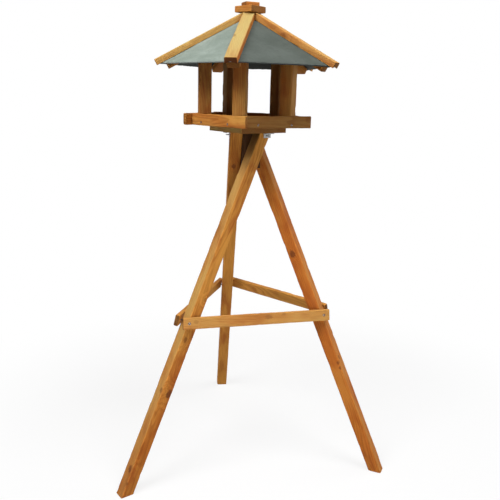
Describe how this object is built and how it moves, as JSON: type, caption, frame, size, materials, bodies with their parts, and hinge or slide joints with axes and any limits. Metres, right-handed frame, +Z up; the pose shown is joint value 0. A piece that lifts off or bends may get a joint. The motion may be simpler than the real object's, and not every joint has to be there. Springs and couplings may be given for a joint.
{
  "type": "bird table",
  "caption": "Free-standing wooden bird table: pentagonal slate-roofed feeding house on posts over a lipped tray, carried by a twisted tripod with cross braces.",
  "frame": {"origin": "on the ground, under the middle of the whole bird table's bounding box", "axes": "+Z up; -Y towards the front corner of the feeding house; +X to the right seen from the front"},
  "size_m": [0.807, 0.8512, 1.4505],
  "materials": {
    "stained_pine": "orange-brown stain, semi-matt",
    "slate": "riven, matt",
    "zinc_steel": "zinc-plated"
  },
  "bodies": {
    "root": {"block_screw": "zinc_steel", "brace_1": "stained_pine", "brace_2": "stained_pine", "brace_3": "stained_pine", "brace_screw_1_end": "zinc_steel", "brace_screw_1_start": "zinc_steel", "brace_screw_2_end": "zinc_steel", "brace_screw_2_start": "zinc_steel", "brace_screw_3_end": "zinc_steel", "brace_screw_3_start": "zinc_steel", "cap_lower": "stained_pine", "cap_screw": "zinc_steel", "cap_upper": "stained_pine", "hip_batten_1": "stained_pine", "hip_batten_2": "stained_pine", "hip_batten_3": "stained_pine", "hip_batten_4": "stained_pine", "hip_batten_5": "stained_pine", "leg_1": "stained_pine", "leg_2": "stained_pine", "leg_3": "stained_pine", "leg_block": "stained_pine", "leg_bracket_1": "zinc_steel", "leg_bracket_2": "zinc_steel", "leg_bracket_3": "zinc_steel", "plate_screw_1": "zinc_steel", "plate_screw_2": "zinc_steel", "post_1": "stained_pine", "post_2": "stained_pine", "post_3": "stained_pine", "post_4": "stained_pine", "post_5": "stained_pine", "rafter_1": "stained_pine", "rafter_2": "stained_pine", "rafter_3": "stained_pine", "rafter_4": "stained_pine", "rafter_5": "stained_pine", "rim_board_1": "stained_pine", "rim_board_2": "stained_pine", "rim_board_3": "stained_pine", "rim_board_4": "stained_pine", "rim_board_5": "stained_pine", "rim_screw_1_1": "zinc_steel", "rim_screw_1_2": "zinc_steel", "rim_screw_2_1": "zinc_steel", "rim_screw_2_2": "zinc_steel", "rim_screw_3_1": "zinc_steel", "rim_screw_3_2": "zinc_steel", "rim_screw_4_1": "zinc_steel", "rim_screw_4_2": "zinc_steel", "rim_screw_5_1": "zinc_steel", "rim_screw_5_2": "zinc_steel", "roof_hub": "stained_pine", "roof_slate_1": "slate", "roof_slate_2": "slate", "roof_slate_3": "slate", "roof_slate_4": "slate", "roof_slate_5": "slate", "tray_floor": "stained_pine", "tray_plate": "stained_pine"}
  },
  "joints": []
}
